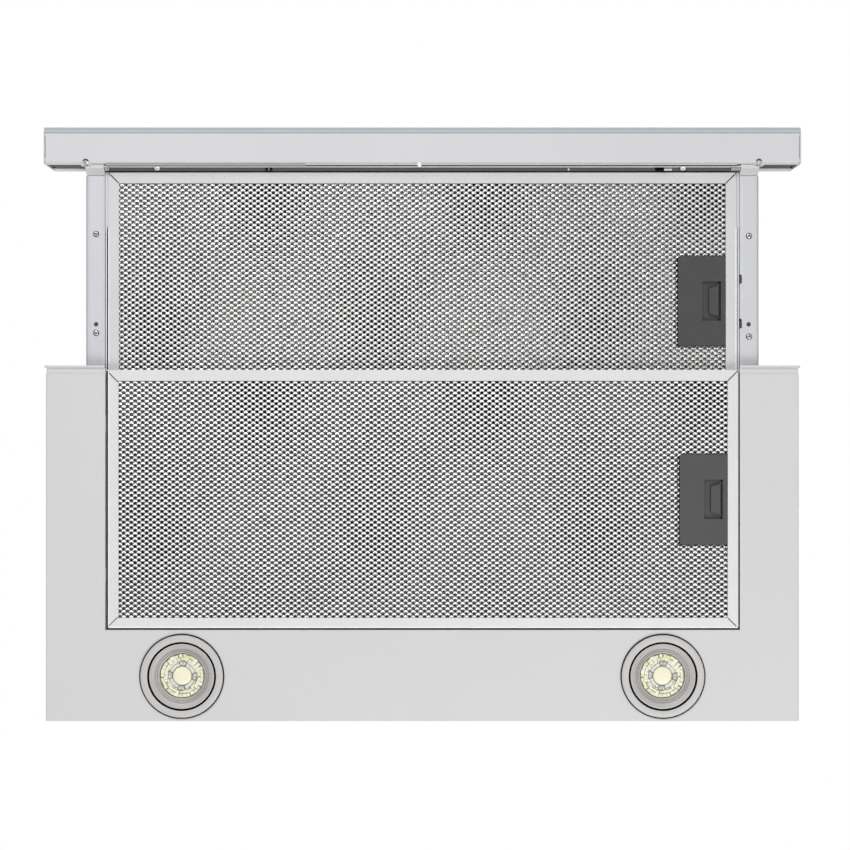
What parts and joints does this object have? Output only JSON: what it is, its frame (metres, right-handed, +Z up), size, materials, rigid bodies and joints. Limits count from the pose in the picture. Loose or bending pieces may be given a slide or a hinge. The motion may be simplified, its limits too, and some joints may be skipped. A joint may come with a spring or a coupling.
{
  "type": "pull out range hood",
  "caption": "Pull-out cooker hood: slim casing with motor box and duct collar, filter carriage drawn out, glass-fronted bar with push buttons, mesh filters with latches, and lamps.",
  "frame": {"origin": "middle of the rear face at the height of the seat plane, where the cabinet stands on the casing", "axes": "+Z up, +Y towards the wall, -Y towards the user with the carriage drawn out that way, +X to the user's right when facing the hood's rear wall"},
  "size_m": [0.601, 0.4734, 0.203],
  "materials": {
    "casing_paint": "pale grey powder coat",
    "bar_paint": "pale grey powder coat",
    "zinc_sheet": "zinc-coated sheet",
    "arm_steel": "satin coated steel",
    "frame_aluminium": "satin",
    "mesh_aluminium": "bright expanded mesh",
    "tinted_glass": "polished edge",
    "latch_plastic": "fine grain, dark grey",
    "black_plastic": "fine grain, black",
    "white_nylon": "smooth, off-white",
    "lamp_metal": "satin, warm grey",
    "lamp_lens": "frosted, cream",
    "chrome_plate": "polished",
    "bare_steel": "plain",
    "blower_plastic": "moulded, black"
  },
  "bodies": {
    "casing": {"lower_shell": "casing_paint", "seat_plate": "zinc_sheet", "box_wrap": "zinc_sheet", "box_end_left": "zinc_sheet", "box_end_right": "zinc_sheet", "side_bracket_left": "zinc_sheet", "side_bracket_right": "zinc_sheet", "fixed_rail_left": "bare_steel", "fixed_rail_right": "bare_steel", "front_glide_left": "white_nylon", "front_glide_right": "white_nylon", "position_switch": "black_plastic", "lamp_bezel_left": "lamp_metal", "lamp_body_left": "lamp_metal", "lamp_lens_left": "lamp_lens", "lamp_bezel_right": "lamp_metal", "lamp_body_right": "lamp_metal", "lamp_lens_right": "lamp_lens", "scroll_left": "blower_plastic", "scroll_right": "blower_plastic", "motor_housing": "bare_steel", "outlet_plenum": "blower_plastic", "outlet_collar": "black_plastic", "capacitor": "frame_aluminium", "terminal_box": "black_plastic", "cable_gland": "black_plastic", "lamp_driver": "white_nylon"},
    "rotor": {"motor_shaft": "bare_steel", "impeller_left": "blower_plastic", "impeller_right": "blower_plastic"},
    "flap_left": {"draught_flap_left": "white_nylon"},
    "flap_right": {"draught_flap_right": "white_nylon"},
    "carriage": {"front_bar": "bar_paint", "front_glass": "tinted_glass", "bar_end_cap_left": "bar_paint", "bar_end_cap_right": "bar_paint", "cross_member": "casing_paint", "carriage_cover": "casing_paint", "rear_tie": "casing_paint", "arm_left": "arm_steel", "arm_right": "arm_steel", "corner_piece_left": "white_nylon", "corner_piece_right": "white_nylon", "rear_glide_left": "white_nylon", "rear_glide_right": "white_nylon", "control_housing": "black_plastic", "button_bezel": "chrome_plate"},
    "button_1": {"push_button_1": "chrome_plate"},
    "button_2": {"push_button_2": "chrome_plate"},
    "button_3": {"push_button_3": "chrome_plate"},
    "button_4": {"push_button_4": "chrome_plate"},
    "button_5": {"push_button_5": "chrome_plate"},
    "rear_filter": {"rear_filter_frame": "frame_aluminium", "rear_filter_mesh": "mesh_aluminium", "rear_latch_housing": "latch_plastic"},
    "rear_latch": {"rear_latch_slide": "latch_plastic"},
    "front_filter": {"front_filter_frame": "frame_aluminium", "front_filter_mesh": "mesh_aluminium", "front_latch_housing": "latch_plastic"},
    "front_latch": {"front_latch_slide": "latch_plastic"}
  },
  "joints": [
    {"name": "carriage_slide", "type": "slide", "parent": "casing", "child": "carriage", "axis": [0, 1, 0], "range_m": [0, 0.1585]},
    {"name": "rotor_spin", "type": "hinge", "parent": "casing", "child": "rotor", "pos_m": [0, -0.126, 0.056], "axis": [1, 0, 0], "continuous": true},
    {"name": "flap_left_swing", "type": "hinge", "parent": "casing", "child": "flap_left", "pos_m": [-0.003, -0.126, 0.1344], "axis": [0, 1, 0], "range_deg": [0, 80]},
    {"name": "flap_right_swing", "type": "hinge", "parent": "casing", "child": "flap_right", "pos_m": [0.003, -0.126, 0.1344], "axis": [0, -1, 0], "range_deg": [0, 80]},
    {"name": "rear_filter_tilt", "type": "hinge", "parent": "casing", "child": "rear_filter", "pos_m": [-0.251, -0.1758, -0.0445], "axis": [0, 1, 0], "range_deg": [0, 60]},
    {"name": "front_filter_tilt", "type": "hinge", "parent": "carriage", "child": "front_filter", "pos_m": [-0.251, -0.3338, -0.0365], "axis": [0, 1, 0], "range_deg": [0, 30]},
    {"name": "rear_latch_pull", "type": "slide", "parent": "rear_filter", "child": "rear_latch", "axis": [-1, 0, 0], "range_m": [0, 0.005], "stiffness_N_per_m": 300},
    {"name": "front_latch_pull", "type": "slide", "parent": "front_filter", "child": "front_latch", "axis": [-1, 0, 0], "range_m": [0, 0.005], "stiffness_N_per_m": 300},
    {"name": "button_1_press", "type": "slide", "parent": "carriage", "child": "button_1", "axis": [0, 1, 0], "range_m": [0, 0.0025], "stiffness_N_per_m": 400},
    {"name": "button_2_press", "type": "slide", "parent": "carriage", "child": "button_2", "axis": [0, 1, 0], "range_m": [0, 0.0025], "stiffness_N_per_m": 400},
    {"name": "button_3_press", "type": "slide", "parent": "carriage", "child": "button_3", "axis": [0, 1, 0], "range_m": [0, 0.0025], "stiffness_N_per_m": 400},
    {"name": "button_4_press", "type": "slide", "parent": "carriage", "child": "button_4", "axis": [0, 1, 0], "range_m": [0, 0.0025], "stiffness_N_per_m": 400},
    {"name": "button_5_press", "type": "slide", "parent": "carriage", "child": "button_5", "axis": [0, 1, 0], "range_m": [0, 0.0025], "stiffness_N_per_m": 400}
  ],
  "couplings": [
    {"joint": "front_filter_tilt", "follows": "rear_filter_tilt", "ratio": 0.5}
  ]
}
